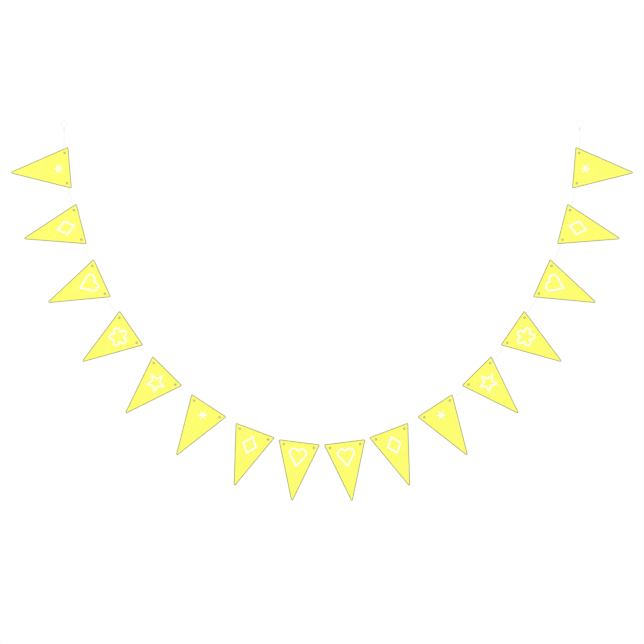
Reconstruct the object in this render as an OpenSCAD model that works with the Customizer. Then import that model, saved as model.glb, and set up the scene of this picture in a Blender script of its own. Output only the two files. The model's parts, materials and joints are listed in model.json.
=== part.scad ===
// Hanging garland of sixteen punched card pennants, threaded on one cotton twine that ends in a
// knotted hanging loop on each side. Sizes are in millimetres.
// The garland hangs in the XZ plane with its printed faces towards -Y. The origin is the point
// where the left loop bears on its hook, and the right loop hangs at the same height.

/* [Pennant] */
// Length of the top edge, between its unrounded corners
pennant_w = 127; // [122:1:132]
// Height from the top edge to the unrounded tip
pennant_h = 186; // [160:1:215]
// Radius of the two top corners and the tip
corner_r = 3; // [1:0.5:6]
// Thickness of the card
card_t = 0.5; // [0.3:0.1:0.8]

/* [Punched holes] */
// Diameter of each hole
hole_d = 3.2; // [3:0.1:5]
// Distance from a top corner to its hole, along the top edge
hole_inset = 17; // [14:0.5:20]
// Distance from the top edge down to the holes
hole_drop = 12.5; // [10:0.5:16]

/* [Twine] */
// Diameter of the twine
twine_d = 1; // [0.8:0.1:1.2]
// Straight length between a hanging knot and the first pennant's twine
tail_l = 55; // [30:1:200]
// Radius of a hanging loop, to the middle of its twine
loop_r = 9; // [7:0.5:14]
// Length of a hanging knot
knot_l = 4; // [3.4:0.2:7]

/* [Hang] */
// Turn from one pennant to the next at the middle of the garland, in degrees
pennant_turn = 14.7; // [14.6:0.1:14.8]
// How much that turn lessens for each pennant away from the middle, in degrees
pennant_ease = 0.64; // [0.62:0.01:0.66]
// Turn from one step to the next at the middle, where a step joins two pennants' top edges
step_turn = 16.1; // [16:0.1:16.2]
// How much that turn lessens for each step away from the middle, in degrees
step_ease = 1.15; // [1.13:0.01:1.17]

/* [Hidden] */
count = 16;
middle = (count + 1) / 2;
// How much each turn picks up again, times the square of the count from the middle, in degrees
pennant_regain = 0.026;
step_regain = 0.064;
// Distances between the middles of neighbouring top edges, from the middle pair outwards
steps = [138, 139, 160, 165, 171, 176, 177, 175];
// Space between the twine and the card it runs along
twine_gap = 0.15;
// Space between a pennant's own stretch of twine and the stretch that doesn't turn with it
turning_gap = 0.3;
// How far a pennant's own twine runs past the side edges of the card
run_past = 1.5;
// Straight start of a stretch of twine, before it bends away from its pennant
lead = 3;
twine_r = twine_d / 2;
// The twine lies on the axis in front of the card, and this far behind it between the holes
behind = 2 * twine_r + 2 * twine_gap + card_t;
// How far the twine's way through a hole starts and ends beyond the hole's edge
dip_past = 0.3;
// Half the length that the twine takes to pass through a hole
dip = hole_d / 2 + dip_past;
dip_steps = 6;
run_half = pennant_w / 2 * (1 - hole_drop / pennant_h) + run_past;
hole_x = pennant_w / 2 - hole_inset;
// How far a loop's centre is above its knot
loop_rise = loop_r * 1.9;
// How far the top of a knot is below the hook
hook_drop = loop_rise + loop_r - twine_r;
// How far the round part of a loop goes to each side of its top, in degrees
loop_sweep = 115;
loop_steps = 10;
// Space between the two strands of a loop where they go into its knot
strand_gap = 0.1;
// How many times the twine is wound round in a knot
knot_turns = 3;
// How far a punched hole's cut runs past both faces of the card
cut_past = 1;
corner_steps = 8;
twine_sides = 8;
round_sides = 48;

function two(i) = str(i < 10 ? "0" : "", i);
function unit(v) = v / norm(v);

// 0 at 0 and 1 at 1, level at both
function eased(t) = t * t * (3 - 2 * t);

// ---- where each pennant hangs ----

// A direction in the XZ plane, in degrees above +X, and the direction square to it
function along(angle) = [cos(angle), 0, sin(angle)];
function square_to(angle) = [-sin(angle), 0, cos(angle)];

function total_turn(k, turn, ease, regain) = k * (turn - ease * abs(k) + regain * k * k);
function pennant_angle(i) = total_turn(i - middle, pennant_turn, pennant_ease, pennant_regain);
function step_angle(i) = total_turn(i + 0.5 - middle, step_turn, step_ease, step_regain);

// Start of the first pennant's twine, straight below the left hook
first_start = [0, 0, -(hook_drop + knot_l + tail_l)];

// Middle of a pennant's stretch of twine, and the middle of its top edge
function twine_middle(i) = edge_middle(i) - hole_drop * square_to(pennant_angle(i));
function edge_middle(i) = i == 1
    ? first_start + run_half * along(pennant_angle(1)) + hole_drop * square_to(pennant_angle(1))
    : edge_middle(i - 1) + steps[abs(i - 1 - count / 2)] * along(step_angle(i - 1));

// Distance between the two hooks
hook_span = 2 * edge_middle(count / 2)[0] + steps[0];

module at_pennant(i) {
    translate(twine_middle(i)) rotate([0, -pennant_angle(i), 0]) children();
}

// ---- the card ----

// The arc that rounds one corner, from the edge towards before to the edge towards after
function corner_arc(corner, before, after) =
    let (
        u = unit(before - corner),
        v = unit(after - corner),
        half = acos(u * v) / 2,
        centre = corner + unit(u + v) * corner_r / sin(half),
        middle_angle = atan2(-(u + v)[1], -(u + v)[0])
    )
    [for (i = [0 : corner_steps])
        let (a = middle_angle + (90 - half) * (2 * i / corner_steps - 1))
        centre + corner_r * [cos(a), sin(a)]];

function pennant_outline() =
    let (
        left = [-pennant_w / 2, hole_drop],
        right = [pennant_w / 2, hole_drop],
        tip = [0, hole_drop - pennant_h]
    )
    concat(corner_arc(left, right, tip), corner_arc(tip, left, right), corner_arc(right, tip, left));

module pennant() {
    color([1, 1, 0.39])
    translate([0, twine_r + twine_gap + card_t, 0])
    rotate([90, 0, 0])
    difference() {
        linear_extrude(card_t) polygon(pennant_outline());
        for (x = [-hole_x, hole_x])
            translate([x, 0, -cut_past])
                cylinder(h = card_t + 2 * cut_past, d = hole_d, $fn = round_sides);
    }
}

// ---- the twine ----

// A tube along a flat route, where across is square to the plane that the route lies in
module tube(route, across) {
    last = len(route) - 1;
    rings = [for (i = [0 : last])
        let (t = unit(route[min(i + 1, last)] - route[max(i - 1, 0)]), n = cross(across, t))
        for (s = [0 : twine_sides - 1])
            let (a = 360 * s / twine_sides)
            route[i] + twine_r * (cos(a) * n + sin(a) * across)];
    walls = [for (i = [0 : last - 1], s = [0 : twine_sides - 1])
        let (
            a = i * twine_sides + s,
            b = i * twine_sides + (s + 1) % twine_sides
        )
        each [[a, a + twine_sides, b], [b, a + twine_sides, b + twine_sides]]];
    ends = [
        [for (s = [0 : twine_sides - 1]) s],
        [for (s = [twine_sides - 1 : -1 : 0]) last * twine_sides + s]
    ];
    color("white") polyhedron(rings, concat(walls, ends));
}

// A straight round stretch of twine on a pennant's swing axis, from one distance along it to another
module round_twine(from, to) {
    color("white")
    translate([from, 0, 0])
    rotate([0, 90, 0])
    cylinder(h = to - from, r = twine_r, $fn = round_sides);
}

// A pennant's own twine: in front of both corners, and behind the card between the holes. The
// stretches in front are what the pennant turns about.
module twine_run() {
    half = [for (k = [0 : dip_steps])
        let (t = k / dip_steps)
        [hole_x + dip * (1 - 2 * t), behind * eased(t), 0]];
    left = [for (p = half) [-p[0], p[1], 0]];
    right = [for (i = [len(half) - 1 : -1 : 0]) half[i]];
    tube(concat(left, right), [0, 0, 1]);
    round_twine(-run_half, -hole_x - dip);
    round_twine(hole_x + dip, run_half);
}

// The stretch from one pennant's twine to the next, straight where it meets each
module twine_span(i) {
    from = twine_middle(i) + (run_half + turning_gap) * along(pennant_angle(i));
    to = twine_middle(i + 1) - (run_half + turning_gap) * along(pennant_angle(i + 1));
    tube([
        from,
        from + lead * along(pennant_angle(i)),
        to - lead * along(pennant_angle(i + 1)),
        to
    ], [0, 1, 0]);
}

// The end of the twine, from the first pennant's own stretch up to the hanging knot
module tail() {
    start = first_start - turning_gap * along(pennant_angle(1));
    bend = first_start - (turning_gap + lead) * along(pennant_angle(1));
    tube([start, bend, [0, 0, -hook_drop - knot_l]], [0, 1, 0]);
}

// Turns of twine, wound tight around the two strands of the loop
module knot() {
    turn = knot_l / knot_turns;
    color("white")
    translate([0, 0, -hook_drop - knot_l])
    rotate_extrude($fn = round_sides) {
        square([twine_d, knot_l]);
        for (i = [0 : knot_turns - 1])
            translate([twine_d, turn * (i + 0.5)]) intersection() {
                circle(d = turn, $fn = round_sides);
                translate([0, -turn]) square(2 * turn);
            }
    }
}

// The drop-shaped loop that goes over a hook
module loop() {
    centre = -loop_r + twine_r;
    foot = twine_r + strand_gap / 2;
    arc = [for (k = [0 : loop_steps])
        let (a = 90 + loop_sweep * (1 - 2 * k / loop_steps))
        [loop_r * cos(a), 0, centre + loop_r * sin(a)]];
    tube(concat(
        [[-foot, 0, -hook_drop], [-foot, 0, -hook_drop + twine_d]],
        arc,
        [[foot, 0, -hook_drop + twine_d], [foot, 0, -hook_drop]]
    ), [0, 1, 0]);
}

module on_right() {
    translate([hook_span, 0, 0]) mirror([1, 0, 0]) children();
}

// ---- the nodes ----

for (i = [1 : count]) {
    at_pennant(i) pennant();
    at_pennant(i) twine_run();
}
for (i = [1 : count - 1]) {
    twine_span(i);
}
tail();  // left_tail
knot();  // left_knot
loop();  // left_loop
on_right() tail();  // right_tail
on_right() knot();  // right_knot
on_right() loop();  // right_loop
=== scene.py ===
"""Looks of a party garland: sixteen printed card pennants, threaded on a white cotton twine.

Everything is in metres, in the part's own frame: +Z is up, +X runs from the left hook to the
right hook, and the printed faces look along -Y. Each pennant is made flat in a frame of its own,
with x along its twine, z up the card and y through it, and is then set on its swing joint.
"""

import json
import math

import bpy
import numpy as np
from mathutils import Matrix, Vector
from mathutils.geometry import delaunay_2d_cdt


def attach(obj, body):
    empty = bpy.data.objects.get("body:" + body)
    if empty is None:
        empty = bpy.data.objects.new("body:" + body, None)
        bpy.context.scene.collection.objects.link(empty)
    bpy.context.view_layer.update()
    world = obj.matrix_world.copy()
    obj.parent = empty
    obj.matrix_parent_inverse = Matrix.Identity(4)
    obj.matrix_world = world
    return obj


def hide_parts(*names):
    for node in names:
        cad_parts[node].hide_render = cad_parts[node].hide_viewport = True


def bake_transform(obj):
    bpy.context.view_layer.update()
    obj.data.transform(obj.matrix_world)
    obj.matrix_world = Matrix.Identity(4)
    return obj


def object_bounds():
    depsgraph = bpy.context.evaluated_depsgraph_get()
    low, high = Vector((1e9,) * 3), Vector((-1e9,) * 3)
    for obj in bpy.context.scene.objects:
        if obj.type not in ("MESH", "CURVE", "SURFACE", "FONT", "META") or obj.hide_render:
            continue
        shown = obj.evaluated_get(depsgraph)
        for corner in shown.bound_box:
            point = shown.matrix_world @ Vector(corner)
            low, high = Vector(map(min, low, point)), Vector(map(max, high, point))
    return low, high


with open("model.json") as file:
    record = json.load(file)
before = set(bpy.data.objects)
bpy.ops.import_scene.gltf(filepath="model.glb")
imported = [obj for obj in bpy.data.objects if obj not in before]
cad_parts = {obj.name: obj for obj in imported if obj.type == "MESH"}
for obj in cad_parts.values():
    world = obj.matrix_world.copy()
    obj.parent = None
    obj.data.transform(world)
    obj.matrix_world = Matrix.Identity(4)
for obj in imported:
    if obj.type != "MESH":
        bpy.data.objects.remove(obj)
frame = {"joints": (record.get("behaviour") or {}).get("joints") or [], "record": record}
cad_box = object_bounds()

MM = 0.001

# The card, its print, and the olive ring of painted shade round each hole
CARD_W = 127 * MM
CARD_H = 186 * MM
CARD_T = 0.5 * MM
CORNER_R = 3 * MM
HOLE_R = 1.6 * MM
HOLE_INSET = 17 * MM
HOLE_DROP = 12.5 * MM
LINE_W = 1.85 * MM
# The olive ring round each hole is painted shade, which darkens the hole.
RING_W = 1.7 * MM
STROKE = 5.6 * MM
MARK_H = 60 * MM
MARK_DROP = 18.5 * MM
GRID = 4.5 * MM
EDGE_STEP = 2.4 * MM
SAME_PLACE = 1e-7
SEED = 40

# The twine
TWINE_R = 0.5 * MM
TWINE_GAP = 0.15 * MM
RUN_PAST = 1.5 * MM
LEAD = 3 * MM
DIP = HOLE_R + 0.3 * MM
TWIST = 3.7 * MM
RING_STEP = 0.4 * MM
LOOP_R = 9 * MM
LOOP_RISE = 1.9 * LOOP_R
KNOT_L = 4 * MM

HOLE_X = CARD_W / 2 - HOLE_INSET
RUN_HALF = CARD_W / 2 * (1 - HOLE_DROP / CARD_H) + RUN_PAST
CARD_FRONT = TWINE_R + TWINE_GAP
BEHIND = 2 * CARD_FRONT + CARD_T
HOOK_DROP = LOOP_RISE + LOOP_R - TWINE_R

# The camera's sight, from the middle and the top of the garland, and the lamps
VIEW_W = 1964 * MM
CAMERA_AWAY = 14.0
SIGHT_RIGHT = 0.2 * MM
SIGHT_DROP = 615.7 * MM
LAMP_SIZE = 3.0
WORLD_SEEN = 1.0
WORLD_LIGHT = 0.80

swings = sorted(frame["joints"], key=lambda joint: joint["name"])
mounts = {mount["name"]: Vector(mount["pos_m"]) for mount in frame["record"]["mounts"]}
left_hook, right_hook = mounts["left_loop"], mounts["right_loop"]


# ---- the camera, the light and the floor ----

def make_camera():
    """A long lens, straight in front of the garland, which fills the width of the picture."""
    low, high = cad_box
    sight = Vector(((low.x + high.x) / 2 + SIGHT_RIGHT, 0, high.z - SIGHT_DROP))
    data = bpy.data.cameras.new("camera")
    data.lens = data.sensor_width * CAMERA_AWAY / VIEW_W
    data.clip_end = 100
    camera = bpy.data.objects.new("camera", data)
    camera.location = sight - Vector((0, CAMERA_AWAY, 0))
    camera.rotation_euler = (math.pi / 2, 0, 0)
    bpy.context.scene.collection.objects.link(camera)
    bpy.context.scene.camera = camera
    return sight


def make_light(name, place, target, power):
    data = bpy.data.lights.new(name, "AREA")
    data.shape = "DISK"
    data.size = LAMP_SIZE
    data.energy = power
    lamp = bpy.data.objects.new(name, data)
    lamp.location = place
    lamp.rotation_mode = "QUATERNION"
    lamp.rotation_quaternion = (target - place).to_track_quat("-Z", "Y")
    lamp.visible_camera = False
    bpy.context.scene.collection.objects.link(lamp)


def make_studio(sight):
    """White all round, three large soft lamps, and a pale floor well below the lowest tip."""
    world = bpy.data.worlds.new("studio")
    world.use_nodes = True
    tree = world.node_tree
    sky = tree.nodes["Background"]
    sky.inputs["Color"].default_value = (1, 1, 1, 1)
    seen = tree.nodes.new("ShaderNodeLightPath")
    level = tree.nodes.new("ShaderNodeMapRange")
    level.inputs["To Min"].default_value = WORLD_LIGHT
    level.inputs["To Max"].default_value = WORLD_SEEN
    tree.links.new(seen.outputs["Is Camera Ray"], level.inputs["Value"])
    tree.links.new(level.outputs["Result"], sky.inputs["Strength"])
    bpy.context.scene.world = world
    bpy.context.scene.view_settings.view_transform = "Standard"
    make_light("key", sight + Vector((-2.6, -4.2, 2.6)), sight, 54)
    make_light("fill", sight + Vector((3.4, -3.6, 0.6)), sight, 21)
    make_light("back", sight + Vector((0.8, 4.4, 2.4)), sight, 80)

    rings, around, reach, drop = 4, 96, 9.5, 1.2
    low, high = cad_box
    centre = Vector(((low.x + high.x) / 2, 0, low.z - drop))
    points = [tuple(centre)]
    for ring in range(1, rings + 1):
        for step in range(around):
            turn = math.tau * step / around
            spoke = Vector((math.cos(turn), math.sin(turn), 0)) * reach * ring / rings
            points.append(tuple(centre + spoke))
    faces = [(0, 1 + s, 1 + (s + 1) % around) for s in range(around)]
    for ring in range(rings - 1):
        first = 1 + ring * around
        for s in range(around):
            a, b = first + s, first + (s + 1) % around
            faces.append((a, a + around, b + around, b))
    data = bpy.data.meshes.new("floor")
    data.from_pydata(points, [], faces)
    floor = bpy.data.objects.new("floor", data)
    bpy.context.scene.collection.objects.link(floor)
    finish = Finish("pale floor")
    finish.set({"Base Color": colour(0.92, 0.92, 0.915), "Roughness": 0.9})
    data.materials.append(finish.material)


# ---- materials ----

class Value:
    """A number that a material's nodes work out. Arithmetic on it adds Math nodes."""

    def __init__(self, finish, socket):
        self.finish = finish
        self.socket = socket

    def math(self, operation, first, second):
        return self.finish.node("Math", {"operation": operation}, {0: first, 1: second})

    def __add__(self, other):
        return self.math("ADD", self, other)

    def __sub__(self, other):
        return self.math("SUBTRACT", self, other)

    def __rsub__(self, other):
        return self.math("SUBTRACT", other, self)

    def __mul__(self, other):
        return self.math("MULTIPLY", self, other)

    __radd__ = __add__
    __rmul__ = __mul__


class Finish:
    """A material, and the nodes behind its surface."""

    def __init__(self, name):
        self.material = bpy.data.materials.new(name)
        self.material.use_nodes = True
        self.tree = self.material.node_tree
        self.surface = self.tree.nodes["Principled BSDF"]

    def feed(self, socket, value):
        if isinstance(value, Value):
            self.tree.links.new(value.socket, socket)
        else:
            socket.default_value = value

    def node(self, kind, settings, sockets, output=0):
        """Adds a node, makes its settings, feeds its sockets, and returns one of its outputs."""
        made = self.tree.nodes.new("ShaderNode" + kind)
        for name, value in settings.items():
            setattr(made, name, value)
        for name, value in sockets.items():
            self.feed(made.inputs[name], value)
        return Value(self, made.outputs[output])

    def set(self, sockets):
        for name, value in sockets.items():
            self.feed(self.surface.inputs[name], value)

    def place(self, attribute):
        """The place that a mesh attribute holds, in millimetres."""
        where = self.node("Attribute", {"attribute_name": attribute}, {}, "Vector")
        return self.node("VectorMath", {"operation": "SCALE"}, {0: where, "Scale": 1 / MM})

    def stretched(self, place, factors):
        return self.node("VectorMath", {"operation": "MULTIPLY"}, {0: place, 1: factors})

    def noise(self, place, scale, detail=3, roughness=0.55):
        return self.node("TexNoise", {}, {
            "Vector": place, "Scale": scale, "Detail": detail, "Roughness": roughness})

    def between(self, value, low, high):
        """0 below low, 1 above high, and smooth between."""
        return self.node("MapRange", {"interpolation_type": "SMOOTHSTEP"}, {
            "Value": value, "From Min": low, "From Max": high})

    def mix(self, factor, first, second):
        return self.node("Mix", {"data_type": "RGBA"}, {0: factor, 6: first, 7: second}, 2)

    def bump(self, height, distance):
        return self.node("Bump", {}, {"Height": height, "Distance": distance})


def colour(red, green, blue):
    return (red, green, blue, 1)


def card_print(name, ink, worn, gloss):
    """Ink on stiff card: an even flood with faint mottling, over the card's own fibres."""
    finish = Finish(name)
    place = finish.place("sheet")
    fibres = finish.noise(finish.stretched(place, (0.5, 1, 1.6)), 1.7, 5, 0.62)
    tooth = finish.noise(place, 5.5, 2)
    mottle = finish.noise(place, 0.05, 3)
    shade = finish.between(mottle * 0.5 + fibres * 0.5, 0.32, 0.68)
    pinholes = finish.between(finish.noise(place, 1.1, 1), 0.80, 0.86)
    inked = finish.mix(shade, worn, ink)
    finish.set({
        "Base Color": finish.mix(pinholes * 0.5, inked, BARE_CARD),
        "Roughness": gloss + 0.16 * (fibres - 0.5) + 0.06 * mottle,
        "Normal": finish.bump(fibres * 0.6 + tooth * 0.4, 0.08 * MM),
        "Specular IOR Level": 0.35,
    })
    return finish.material


def card_edge(name):
    """The cut edge of the card, where its pressed layers show."""
    finish = Finish(name)
    place = finish.place("sheet")
    layers = finish.noise(finish.stretched(place, (0.25, 9, 0.25)), 1.0, 4)
    nicks = finish.noise(place, 2.4, 3)
    finish.set({
        "Base Color": finish.mix(layers, colour(0.80, 0.79, 0.74), colour(0.95, 0.95, 0.92)),
        "Roughness": 0.78 + 0.15 * nicks,
        "Normal": finish.bump(layers * 0.6 + nicks * 0.4, 0.05 * MM),
        "Specular IOR Level": 0.2,
    })
    return finish.material


def cotton(name):
    """Soft white cotton: fibres laid along each strand, and painted shade that darkens it down in
    the grooves.
    """
    finish = Finish(name)
    place = finish.place("lay")
    fibres = finish.noise(finish.stretched(place, (0.35, 2.6, 2.6)), 3.2, 4, 0.65)
    slubs = finish.noise(place, 0.16, 2)
    depth = finish.node("Attribute", {"attribute_name": "depth"}, {}, "Fac")
    cord_white = finish.mix(fibres, colour(0.90, 0.895, 0.87), colour(0.975, 0.97, 0.955))
    # Painted shade: the colour darkens towards the grooves between the strands.
    groove_painted_shade = finish.between(depth, 0.0, 0.75)
    finish.set({
        "Base Color": finish.mix(groove_painted_shade, colour(0.78, 0.765, 0.73), cord_white),
        "Roughness": 0.82 + 0.12 * slubs,
        "Normal": finish.bump(fibres, 0.06 * MM),
        "Specular IOR Level": 0.15,
        "Sheen Weight": 0.25,
        "Sheen Roughness": 0.5,
    })
    return finish.material


BARE_CARD = colour(0.93, 0.93, 0.91)


# ---- the shapes of the card and its print, as flat loops of (x, z) points ----

def rounded_triangle(inset):
    """The card's outline, drawn in by inset, with its three corners rounded."""
    top = np.array((0, HOLE_DROP))
    corners = [top + (-CARD_W / 2, 0), top + (0, -CARD_H), top + (CARD_W / 2, 0)]
    steps = 9
    loop = []
    for k in range(3):
        corner, before, after = corners[k], corners[k - 1], corners[(k + 1) % 3]
        back = (before - corner) / np.linalg.norm(before - corner)
        on = (after - corner) / np.linalg.norm(after - corner)
        half = math.acos(back @ on) / 2
        inward = (back + on) / np.linalg.norm(back + on)
        centre = corner + inward * CORNER_R / math.sin(half)
        outward = math.atan2(-inward[1], -inward[0])
        radius = CORNER_R - inset
        for step in range(steps + 1):
            turn = outward + (math.pi / 2 - half) * (2 * step / steps - 1)
            loop.append(centre + radius * np.array((math.cos(turn), math.sin(turn))))
    return np.array(loop)


def circle(centre, radius, points=28):
    turns = np.arange(points) * math.tau / points
    return np.array(centre) + radius * np.stack([np.cos(turns), np.sin(turns)], axis=1)


def even(loop, step=1.6 * MM):
    """The same closed loop with its points about step apart, its sharp corners kept."""
    points = []
    for a, b in zip(loop, np.roll(loop, -1, axis=0)):
        pieces = max(1, round(np.linalg.norm(b - a) / step))
        points += [a + (b - a) * k / pieces for k in range(pieces)]
    return np.array(points)


def gaps_to(points, loop):
    """How far each point is from the nearest edge of a closed loop."""
    start, edge = loop, np.roll(loop, -1, axis=0) - loop
    offset = points[:, None] - start[None]
    share = (offset * edge).sum(axis=2) / (edge * edge).sum(axis=1)
    nearest = offset - np.clip(share, 0, 1)[..., None] * edge
    return np.linalg.norm(nearest, axis=2).min(axis=1)


def drawn_in(loop, inset):
    """A counter-clockwise loop moved in by inset all round, round about its hollow corners."""
    points = []
    for a, b, c in zip(np.roll(loop, 1, axis=0), loop, np.roll(loop, -1, axis=0)):
        first = math.atan2(*(b - a)[::-1]) + math.pi / 2
        last = math.atan2(*(c - b)[::-1]) + math.pi / 2
        turn = (last - first + math.pi) % math.tau - math.pi
        steps = max(1, math.ceil(-turn * inset / (0.8 * MM)))
        for step in range(steps + 1 if turn < 0 else 1):
            angle = first + turn * step / steps
            points.append(b + inset * np.array((math.cos(angle), math.sin(angle))))
    points = np.array(points)
    return points[gaps_to(points, loop) > inset * 0.998]


def star(points, outer, inner):
    turns = math.pi / 2 + np.arange(2 * points) * math.pi / points
    radii = np.where(np.arange(2 * points) % 2 == 0, outer, inner)
    return radii[:, None] * np.stack([np.cos(turns), np.sin(turns)], axis=1)


def diamond():
    return np.array([(0, 0.5), (-0.4, 0), (0, -0.5), (0.4, 0)]) * MARK_H


def heart():
    """Two round lobes and two straight sides that meet in a point."""
    radius, apart, drop = 0.262 * MARK_H, 0.205 * MARK_H, 0.245 * MARK_H
    tip = np.array((0, drop + radius - MARK_H))
    lobe = np.array((-apart, drop))
    reach = np.linalg.norm(tip - lobe)
    cleft = math.acos(apart / radius)
    leave = math.atan2(*(tip - lobe)[::-1]) % math.tau - math.acos(radius / reach)
    turns = np.linspace(cleft, leave, 34)
    left = lobe + radius * np.stack([np.cos(turns), np.sin(turns)], axis=1)
    right = left[1:][::-1] * (-1, 1)
    return np.concatenate([left, [tip], right]) + (0, MARK_H / 2 - radius - drop)


def flower():
    turns = np.arange(150) * math.tau / 150
    radii = (0.31 + 0.19 * np.abs(np.cos(2.5 * turns)) ** 0.8) * MARK_H
    return np.stack([-radii * np.sin(turns), radii * np.cos(turns)], axis=1)


def outlined(shape):
    """The two loops of a shape drawn with one stroke's width."""
    shape = even(shape, 0.7 * MM)
    return [shape, drawn_in(shape, STROKE)]


def mark_loops(number):
    """The white print on a pennant: a small six-armed star, or one outlined shape."""
    place = min(number, len(swings) + 1 - number)
    if place in (1, 6):
        arm = 16.5 * MM
        return [even(star(6, arm, 5.8 * MM)) + (0, HOLE_DROP - MARK_DROP - arm)]
    shapes = {2: diamond(), 3: heart(), 4: flower(), 5: star(5, 32 * MM, 16 * MM) - (0, 2 * MM),
              7: diamond(), 8: heart()}
    middle = (0, HOLE_DROP - MARK_DROP - MARK_H / 2)
    return [loop + middle for loop in outlined(shapes[place])]


def inside(points, loop):
    """Which points a closed loop holds."""
    x, z = points.T
    found = np.zeros(len(points), bool)
    for (ax, az), (bx, bz) in zip(loop, np.roll(loop, -1, axis=0)):
        if az != bz:
            crosses = (az > z) != (bz > z)
            found ^= crosses & (x < ax + (z - az) / (bz - az) * (bx - ax))
    return found


def grid_points(outline, loops):
    """Points spread evenly over the card, clear of every loop."""
    low, high = outline.min(axis=0), outline.max(axis=0)
    row_step = GRID * 0.866
    rows = np.arange(low[1], high[1], row_step)
    points = []
    for k, z in enumerate(rows):
        for x in np.arange(low[0] + GRID / 2 * (k % 2), high[0], GRID):
            points.append((x, z))
    points = np.array(points)
    points = points[inside(points, outline)]
    others = np.concatenate(loops)
    gaps = np.linalg.norm(points[:, None] - others[None], axis=2).min(axis=1)
    return points[gaps > GRID * 0.4]


YELLOW, WHITE, OLIVE, CUT = range(4)


def flat_card(number):
    """The card's flat pattern: its points, its triangles, and the print of each on both faces,
    where the olive ring round each hole is painted shade.
    """
    outline = even(rounded_triangle(0), EDGE_STEP)
    border = even(rounded_triangle(LINE_W), EDGE_STEP)
    centres = [(-HOLE_X, 0), (HOLE_X, 0)]
    holes = [circle(centre, HOLE_R) for centre in centres]
    rings = [circle(centre, HOLE_R + RING_W) for centre in centres]
    marks = mark_loops(number)
    loops = [outline, border, *holes, *rings, *marks]
    points, edges = [], []
    for loop in loops:
        first = len(points)
        points += [Vector(p) for p in loop]
        edges += [(first + k, first + (k + 1) % len(loop)) for k in range(len(loop))]
    points += [Vector(p) for p in grid_points(outline, loops)]
    made = delaunay_2d_cdt(points, edges, [], 0, SAME_PLACE)
    flat = np.array([tuple(p) for p in made[0]])
    triangles = np.array([tuple(t) for t in made[2]])
    middles = flat[triangles].mean(axis=1)
    kept = inside(middles, outline)
    for hole in holes:
        kept &= ~inside(middles, hole)
    triangles, middles = triangles[kept], middles[kept]
    olive = ~inside(middles, border)
    # Painted shade: an olive ring round each hole, which makes the hole look dark.
    for ring in rings:
        olive |= inside(middles, ring)
    white = np.zeros(len(middles), bool)
    for loop in marks:
        white ^= inside(middles, loop)
    back = np.where(olive, OLIVE, YELLOW)
    return flat, triangles, np.where(white, WHITE, back), back


# ---- the pieces ----

def joint_frame(joint):
    """The frame of a pennant: x along its twine, y to the back, z square to the twine."""
    x, y = Vector(joint["axis"]), Vector((0, 1, 0))
    matrix = Matrix((x, y, x.cross(y))).transposed().to_4x4()
    matrix.translation = Vector(joint["pos_m"])
    return matrix


def curl(flat, chance):
    """How far each point of a card stands back from flat: a slight curl towards the tip."""
    depth = np.clip((-flat[:, 1] - 6 * MM) / (CARD_H - HOLE_DROP), 0, 1) ** 2
    side = flat[:, 0] / (CARD_W / 2)
    most = (2.6, 3.0, 4.0)
    bend, bow, skew = chance.uniform(np.negative(most), most) * MM
    return depth * (bend + bow * side ** 2 + skew * side)


def make_pennant(number, joint, finishes):
    flat, triangles, front_print_and_shade, back_print_and_shade = flat_card(number)
    chance = np.random.default_rng(SEED + number)
    stand = curl(flat, chance)
    count = len(flat)
    points = np.zeros((2 * count, 3))
    points[:count] = np.stack([flat[:, 0], CARD_FRONT + stand, flat[:, 1]], axis=1)
    points[count:] = points[:count] + (0, CARD_T, 0)
    corner = triangles[:, (1, 2, 0)]
    sides = np.concatenate([np.stack([triangles[:, k], corner[:, k]], axis=1) for k in range(3)])
    pairs = {tuple(edge) for edge in sides}
    rim = [(a, b) for a, b in pairs if (b, a) not in pairs]
    faces = [tuple(t) for t in triangles]
    faces += [tuple(t[::-1] + count) for t in triangles]
    faces += [(b, a, a + count, b + count) for a, b in sorted(rim)]
    place = np.array(joint_frame(joint))
    mesh = bpy.data.meshes.new(f"pennant_card_{number:02d}")
    mesh.from_pydata((points @ place[:3, :3].T + place[:3, 3]).tolist(), [], faces)
    prints_and_shade = [*front_print_and_shade, *back_print_and_shade, *[CUT] * len(rim)]
    mesh.polygons.foreach_set("material_index", np.array(prints_and_shade, np.int32))
    for finish in finishes:
        mesh.materials.append(finish)
    sheet = mesh.attributes.new("sheet", "FLOAT_VECTOR", "POINT")
    shift = chance.uniform(-1, 1, 3)
    sheet.data.foreach_set("vector", (points + shift).astype(np.float32).ravel())
    mesh.polygons.foreach_set("use_smooth", np.ones(len(faces), bool))
    mesh.set_sharp_from_angle(angle=math.radians(40))
    piece = bpy.data.objects.new(mesh.name, mesh)
    bpy.context.scene.collection.objects.link(piece)
    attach(piece, joint["child"])
    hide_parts(f"pennant_{number:02d}")
    return piece


def spread_points(route, step=RING_STEP):
    """The same route with its points evenly spaced, and its ends kept."""
    route = np.array(route, float)
    along = np.concatenate([[0], np.cumsum(np.linalg.norm(np.diff(route, axis=0), axis=1))])
    at = np.linspace(0, along[-1], max(2, math.ceil(along[-1] / step) + 1))
    return np.stack([np.interp(at, along, route[:, k]) for k in range(3)], axis=1)


def curve(a, b, c, d, points=60):
    """A smooth curve from a to d, that leaves towards b and arrives from c."""
    t = np.linspace(0, 1, points)[:, None]
    a, b, c, d = (np.array(p, float) for p in (a, b, c, d))
    return (1 - t) ** 3 * a + 3 * (1 - t) ** 2 * t * b + 3 * (1 - t) * t ** 2 * c + t ** 3 * d


def through(points, pieces=8):
    """A smooth route through every point of a list."""
    p = np.array([points[0], *points, points[-1]], float)
    t = np.linspace(0, 1, pieces, endpoint=False)[:, None]
    route = []
    for a, b, c, d in zip(p, p[1:], p[2:], p[3:]):
        route.append(0.5 * (2 * b + (c - a) * t + (2 * a - 5 * b + 4 * c - d) * t ** 2
                            + (3 * b - a - 3 * c + d) * t ** 3))
    return np.concatenate([*route, p[-1:]])


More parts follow.
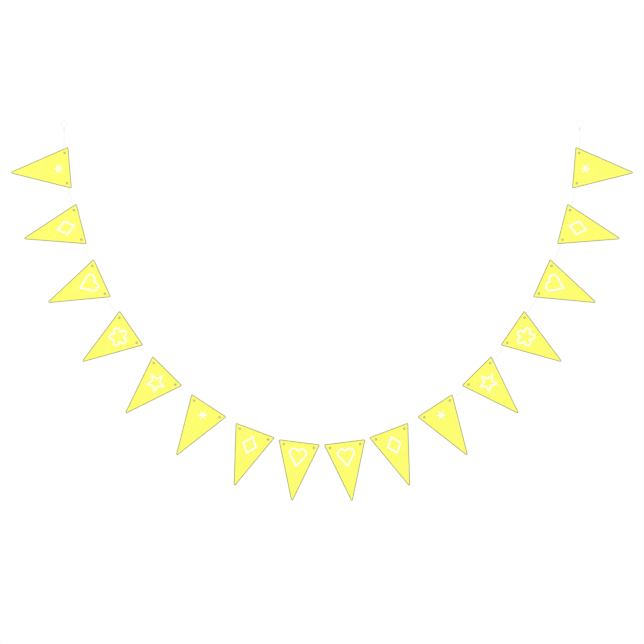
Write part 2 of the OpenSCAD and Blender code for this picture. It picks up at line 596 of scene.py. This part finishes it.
def half_run(joint, side):
    """Half of a pennant's own twine, from the side edge to the middle of the card's back."""
    place = joint_frame(joint)
    x = np.linspace(-DIP, DIP, 40)
    t = (DIP - x) / (2 * DIP)
    dips = [(HOLE_X + u, BEHIND * v * v * (3 - 2 * v), 0) for u, v in zip(x[::-1], t[::-1])]
    points = [(RUN_HALF, 0, 0), *dips, (0, BEHIND, 0)]
    return [tuple(place @ Vector((side * p[0], p[1], p[2]))) for p in points]


def strands(lobes=3, points=5):
    """The outline of three strands laid together: (angle, radius) pairs, whose radius tells each
    one's depth.
    """
    strand = TWINE_R / (1 + 2 / math.sqrt(3))
    orbit = TWINE_R - strand
    spread = np.linspace(-0.83, 0.83, points) * math.pi / lobes
    radius = orbit * np.cos(spread) + np.sqrt(strand ** 2 - (orbit * np.sin(spread)) ** 2)
    angle = (spread[None] + np.arange(lobes)[:, None] * math.tau / lobes).ravel()
    return angle, np.tile(radius, lobes)


class Twine:
    """A route of twine, swept once so that its strands run on from piece to piece."""

    def __init__(self, stretches):
        self.cuts = [0]
        points = []
        for stretch in stretches:
            found = spread_points(stretch)
            points += [*found[(1 if points else 0):]]
            self.cuts.append(len(points) - 1)
        self.line = np.array(points)
        ahead = np.diff(self.line, axis=0)
        self.along = np.concatenate([[0], np.cumsum(np.linalg.norm(ahead, axis=1))])
        tangent = np.concatenate([ahead[:1], self.line[2:] - self.line[:-2], ahead[-1:]])
        tangent /= np.linalg.norm(tangent, axis=1)[:, None]
        normal = np.cross(tangent[0], (0.3, 0.9, 0.2))
        frames = []
        for t in tangent:
            normal = normal - (normal @ t) * t
            normal /= np.linalg.norm(normal)
            frames.append((normal, np.cross(t, normal)))
        angle, radius = strands()
        turn = (self.along / TWIST * math.tau)[:, None] + angle[None]
        n = np.array([f[0] for f in frames])[:, None]
        b = np.array([f[1] for f in frames])[:, None]
        self.round = len(angle)
        self.skin = self.line[:, None] + radius[None, :, None] * (
            np.cos(turn)[..., None] * n + np.sin(turn)[..., None] * b)
        # How far each point of the outline stands out of the grooves, 0 deepest; it sets the
        # painted groove shade.
        self.depth = (radius - radius.min()) / (radius.max() - radius.min())
        self.lay = np.stack(np.broadcast_arrays(
            self.along[:, None], angle[None] * TWINE_R, np.zeros((1, 1))), axis=-1)

    def length(self, index):
        return self.along[self.cuts[index + 1]] - self.along[self.cuts[index]]

    def path(self, index):
        return self.line[self.cuts[index]:self.cuts[index + 1] + 1]

    def piece(self, name, index, finish, others=()):
        """One stretch of the twine as a closed mesh, and with it the stretches of any others."""
        points, faces, depth, lay = [], [], [], []
        for twine, number in ((self, index), *others):
            first, last = twine.cuts[number], twine.cuts[number + 1]
            rings, around, start = last - first + 1, twine.round, len(points)
            points += twine.skin[first:last + 1].reshape(-1, 3).tolist()
            lay += twine.lay[first:last + 1].reshape(-1, 3).tolist()
            depth += np.tile(twine.depth, rings).tolist()
            for ring in range(rings - 1):
                for s in range(around):
                    a = start + ring * around + s
                    b = start + ring * around + (s + 1) % around
                    faces.append((a, b, b + around, a + around))
            faces.append(tuple(start + s for s in reversed(range(around))))
            end = start + (rings - 1) * around
            faces.append(tuple(end + s for s in range(around)))
        mesh = bpy.data.meshes.new(name)
        mesh.from_pydata(points, [], faces)
        mesh.materials.append(finish)
        mesh.polygons.foreach_set("use_smooth", np.ones(len(faces), bool))
        mesh.attributes.new("lay", "FLOAT_VECTOR", "POINT").data.foreach_set(
            "vector", np.array(lay, np.float32).ravel())
        mesh.attributes.new("depth", "FLOAT", "POINT").data.foreach_set(
            "value", np.array(depth, np.float32))
        made = bpy.data.objects.new(name, mesh)
        bpy.context.scene.collection.objects.link(made)
        return made


def tail_route(hook, side):
    """From the knot below a hook to the first twine of the nearest pennant."""
    joint = swings[0] if side < 0 else swings[-1]
    place = joint_frame(joint)
    meet = place @ Vector((side * RUN_HALF, 0, 0))
    bend = place @ Vector((side * (RUN_HALF + LEAD), 0, 0))
    top = hook - Vector((0, 0, HOOK_DROP + KNOT_L))
    return curve(top, top.lerp(bend, 0.7), bend, meet)


def gap_route(joint, following):
    """From one pennant's twine to the next one's, along the line of both where it meets them."""
    a, b = joint_frame(joint), joint_frame(following)
    end, lead = Vector((RUN_HALF, 0, 0)), Vector((RUN_HALF + LEAD, 0, 0))
    return curve(a @ end, a @ lead, b @ -lead, b @ -end)


def make_line(finish):
    """The twine from knot to knot: two tails, the gaps, and two halves behind each card."""
    stretches, jobs = [tail_route(left_hook, -1)], [("left_tail", None, 0)]
    for k, joint in enumerate(swings):
        number = k + 1
        stretches += [half_run(joint, -1), half_run(joint, 1)[::-1]]
        jobs += [("run", joint, -1), ("run", joint, 1)]
        if number < len(swings):
            stretches.append(gap_route(joint, swings[number]))
            jobs.append(("gap", joint, number))
    stretches.append(tail_route(right_hook, 1)[::-1])
    jobs.append(("right_tail", None, 0))
    line = Twine(stretches)
    tails = {}
    for index, (kind, joint, key) in enumerate(jobs):
        if kind == "run":
            number = int(joint["name"][-2:])
            half = "left" if key < 0 else "right"
            piece = line.piece(f"twine_{half}_half_{number:02d}", index, finish)
            place = joint_frame(joint)
            start = place @ Vector((key * RUN_HALF, 0, 0))
            end = place @ Vector((key * (HOLE_X + DIP), 0, 0))
            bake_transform(piece)
            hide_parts(f"twine_run_{number:02d}")
            continue
        node = f"twine_span_{key:02d}" if kind == "gap" else kind
        piece = line.piece(f"{node}_twine", index, finish)
        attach(piece, "line")
        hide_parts(node)
        path, length = line.path(index), line.length(index)
        if kind != "gap":
            from_meeting = path if kind == "right_tail" else path[::-1]
            tails[kind] = (piece, from_meeting, length)
    return tails


def knot_routes(side):
    """The loop over a hook, the two legs inside its knot, and the turns wound round them.

    The knot's bends are measured in the twine's radius, which is the unit here.
    """
    unit = TWINE_R
    leg, base, foot = 1.06 * unit, -HOOK_DROP, -HOOK_DROP - KNOT_L
    centre = unit - LOOP_R
    arc = [(LOOP_R * math.cos(t), 0, centre + LOOP_R * math.sin(t))
           for t in np.radians(np.linspace(-28, 208, 15))]
    loop = through([(leg, 0, base), (leg * 1.3, 0, base + 2 * MM), *arc,
                    (-leg * 1.3, 0, base + 2 * MM), (-leg, 0, base)])
    standing = through([(0, 0, foot), (leg * 0.8, 0, foot + 1.3 * unit),
                        (leg, 0, foot + 3.3 * unit), (leg, 0, base)])
    turns, wide, deep = 3.1, 3.08 * unit, 2.1 * unit
    wound = []
    for t in np.linspace(0, 1, 60):
        angle = math.radians(205) + t * turns * math.tau
        wound.append((wide * math.cos(angle), deep * math.sin(angle),
                      foot + unit + t * (KNOT_L - 2.1 * unit)))
    steps = ((1.4, 1.0, -0.3), (3.4, 1.0, -1.2), (6.0, 0.5, -3.4), (8.2, 0.0, -6.6))
    end = [tuple(np.array(wound[-1]) + np.array(step) * unit) for step in steps]
    tied = through([(-leg, 0, base), (-leg, 0, base - 2 * unit), (-leg, 0, foot + 1.8 * unit),
                    (-1.9 * unit, -0.2 * unit, foot + 0.2 * unit), *wound, *end])
    shape = np.array((-side, 1, 1))
    return [np.array(route) * shape for route in (loop, standing, tied)]


def make_hanger(name, hook, side, tail, finish):
    """The loop and the knot at one end. The tail that they hold is taken in, but not used."""
    loop, standing, tied = (Twine([route + np.array(hook)]) for route in knot_routes(side))
    over = loop.piece(f"{name}_loop_twine", 0, finish)
    knot = tied.piece(f"{name}_knot_twine", 0, finish, [(standing, 0)])
    for piece, node in ((over, f"{name}_loop"), (knot, f"{name}_knot")):
        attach(piece, "line")
        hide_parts(node)
    piece, path, length = tail


sight = make_camera()
make_studio(sight)
twine_finish = cotton("white cotton twine")
tails = make_line(twine_finish)
make_hanger("left", left_hook, -1, tails["left_tail"], twine_finish)
make_hanger("right", right_hook, 1, tails["right_tail"], twine_finish)

card_finishes = [
    card_print("yellow print", colour(0.985, 0.985, 0.12), colour(0.955, 0.955, 0.17), 0.42),
    card_print("bare white card", colour(0.97, 0.97, 0.90), colour(0.95, 0.95, 0.87), 0.55),
    # The olive line along the edge, and the olive ring of painted shade round each hole.
    card_print("olive line and painted hole shade", colour(0.165, 0.152, 0.012), colour(0.19, 0.175, 0.02), 0.45),
    card_edge("cut edge of the card"),
]
for index, swing in enumerate(swings):
    make_pennant(index + 1, swing, card_finishes)
